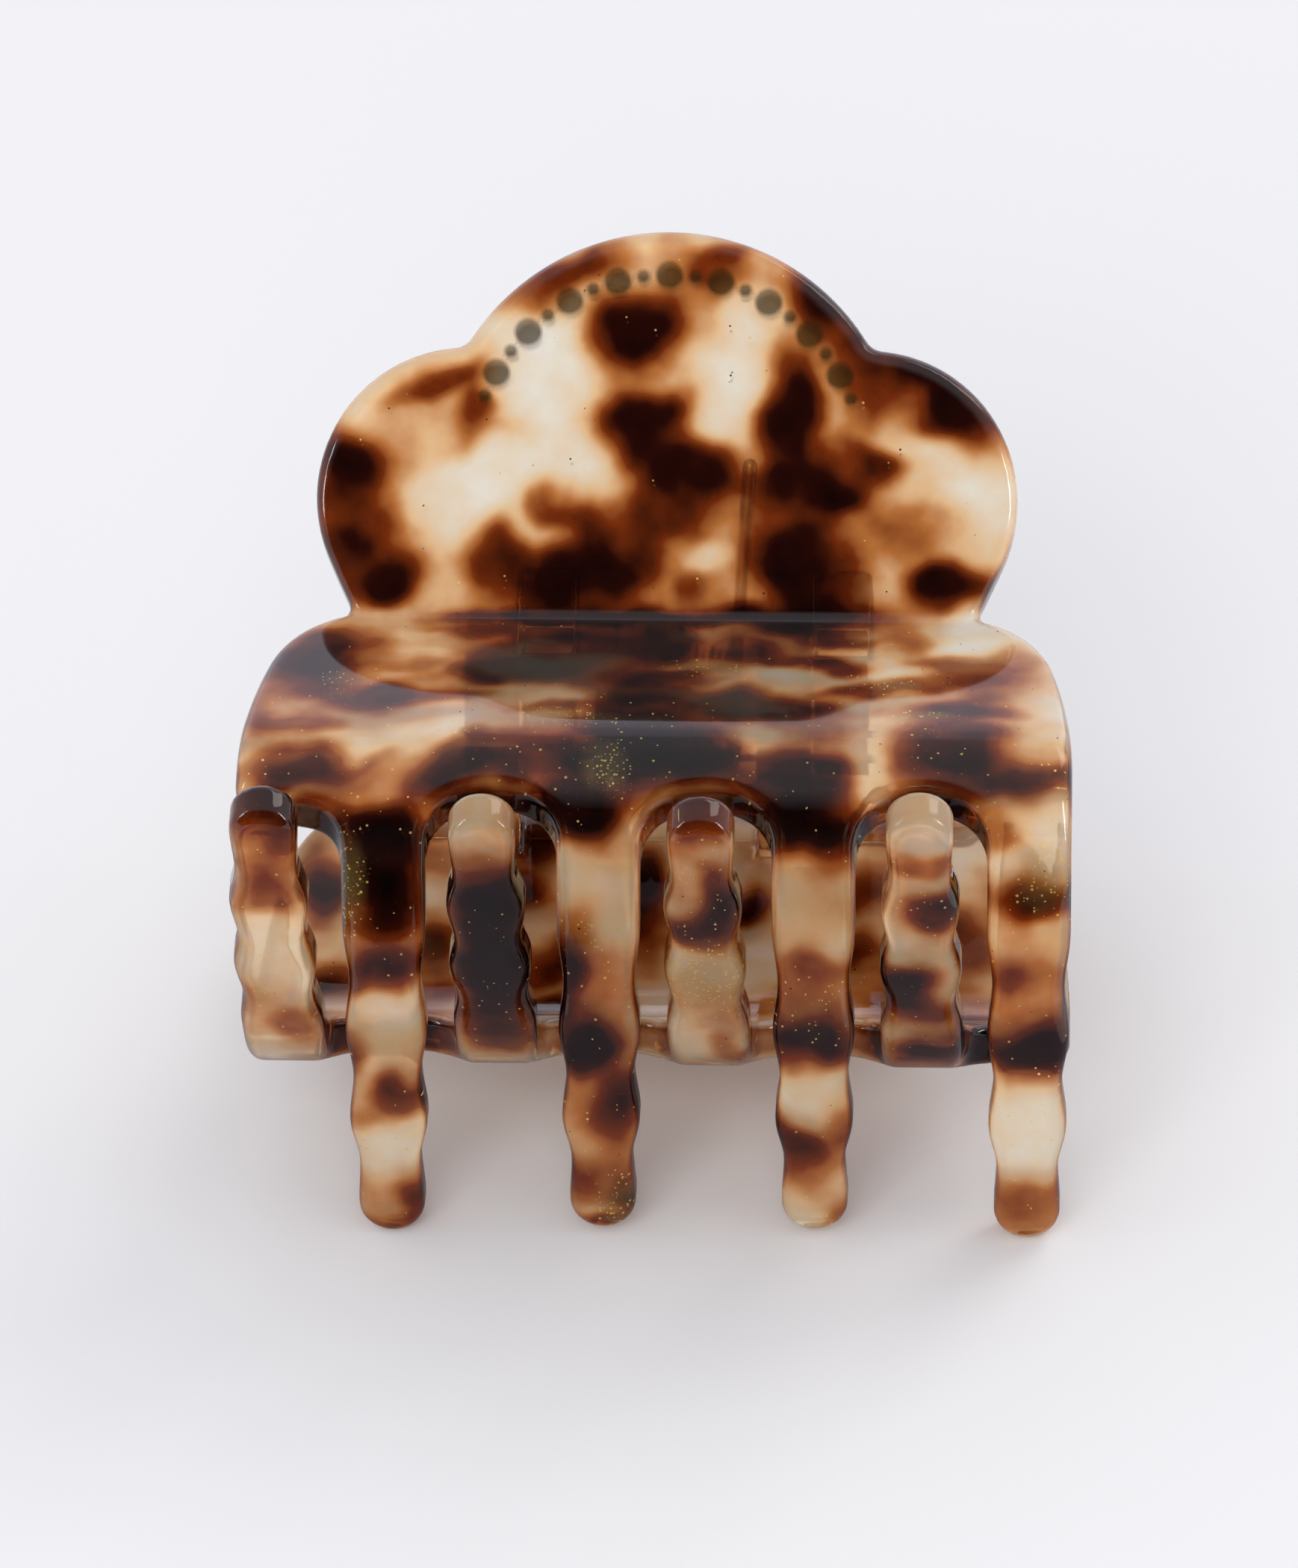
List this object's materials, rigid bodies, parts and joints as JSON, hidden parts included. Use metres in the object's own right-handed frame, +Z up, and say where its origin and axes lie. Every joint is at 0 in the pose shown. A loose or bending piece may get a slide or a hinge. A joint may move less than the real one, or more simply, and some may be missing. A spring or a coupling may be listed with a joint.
{
  "type": "hair claw clip",
  "caption": "Spring claw clip for hair: two identical shells with a cloud shaped grip, wavy interlocking teeth, a steel pin and a coil spring.",
  "frame": {"origin": "on the surface the clip lies on, under the middle of its bounding box", "axes": "+Z up from the surface, -Y along the clip towards the teeth, +X across the teeth to the right, as seen from the teeth end"},
  "size_m": [0.06, 0.063, 0.0587],
  "materials": {
    "shell_plastic": "polished translucent tortoiseshell acetate, amber to dark brown with gold flecks",
    "pin_steel": "plain drawn steel pin",
    "spring_steel": "bright drawn spring wire"
  },
  "bodies": {
    "lower": {"claw_lower": "shell_plastic", "hinge_pin": "pin_steel", "torsion_spring": "spring_steel"},
    "upper": {"claw_upper": "shell_plastic"}
  },
  "joints": [
    {"name": "claw_hinge", "type": "hinge", "parent": "lower", "child": "upper", "pos_m": [0, 0.00635, 0.02614], "axis": [-1, 0, 0], "range_deg": [0, 100], "stiffness_Nm_per_rad": 0.1, "springref_deg": -57.3, "deforming": ["torsion_spring"]}
  ]
}
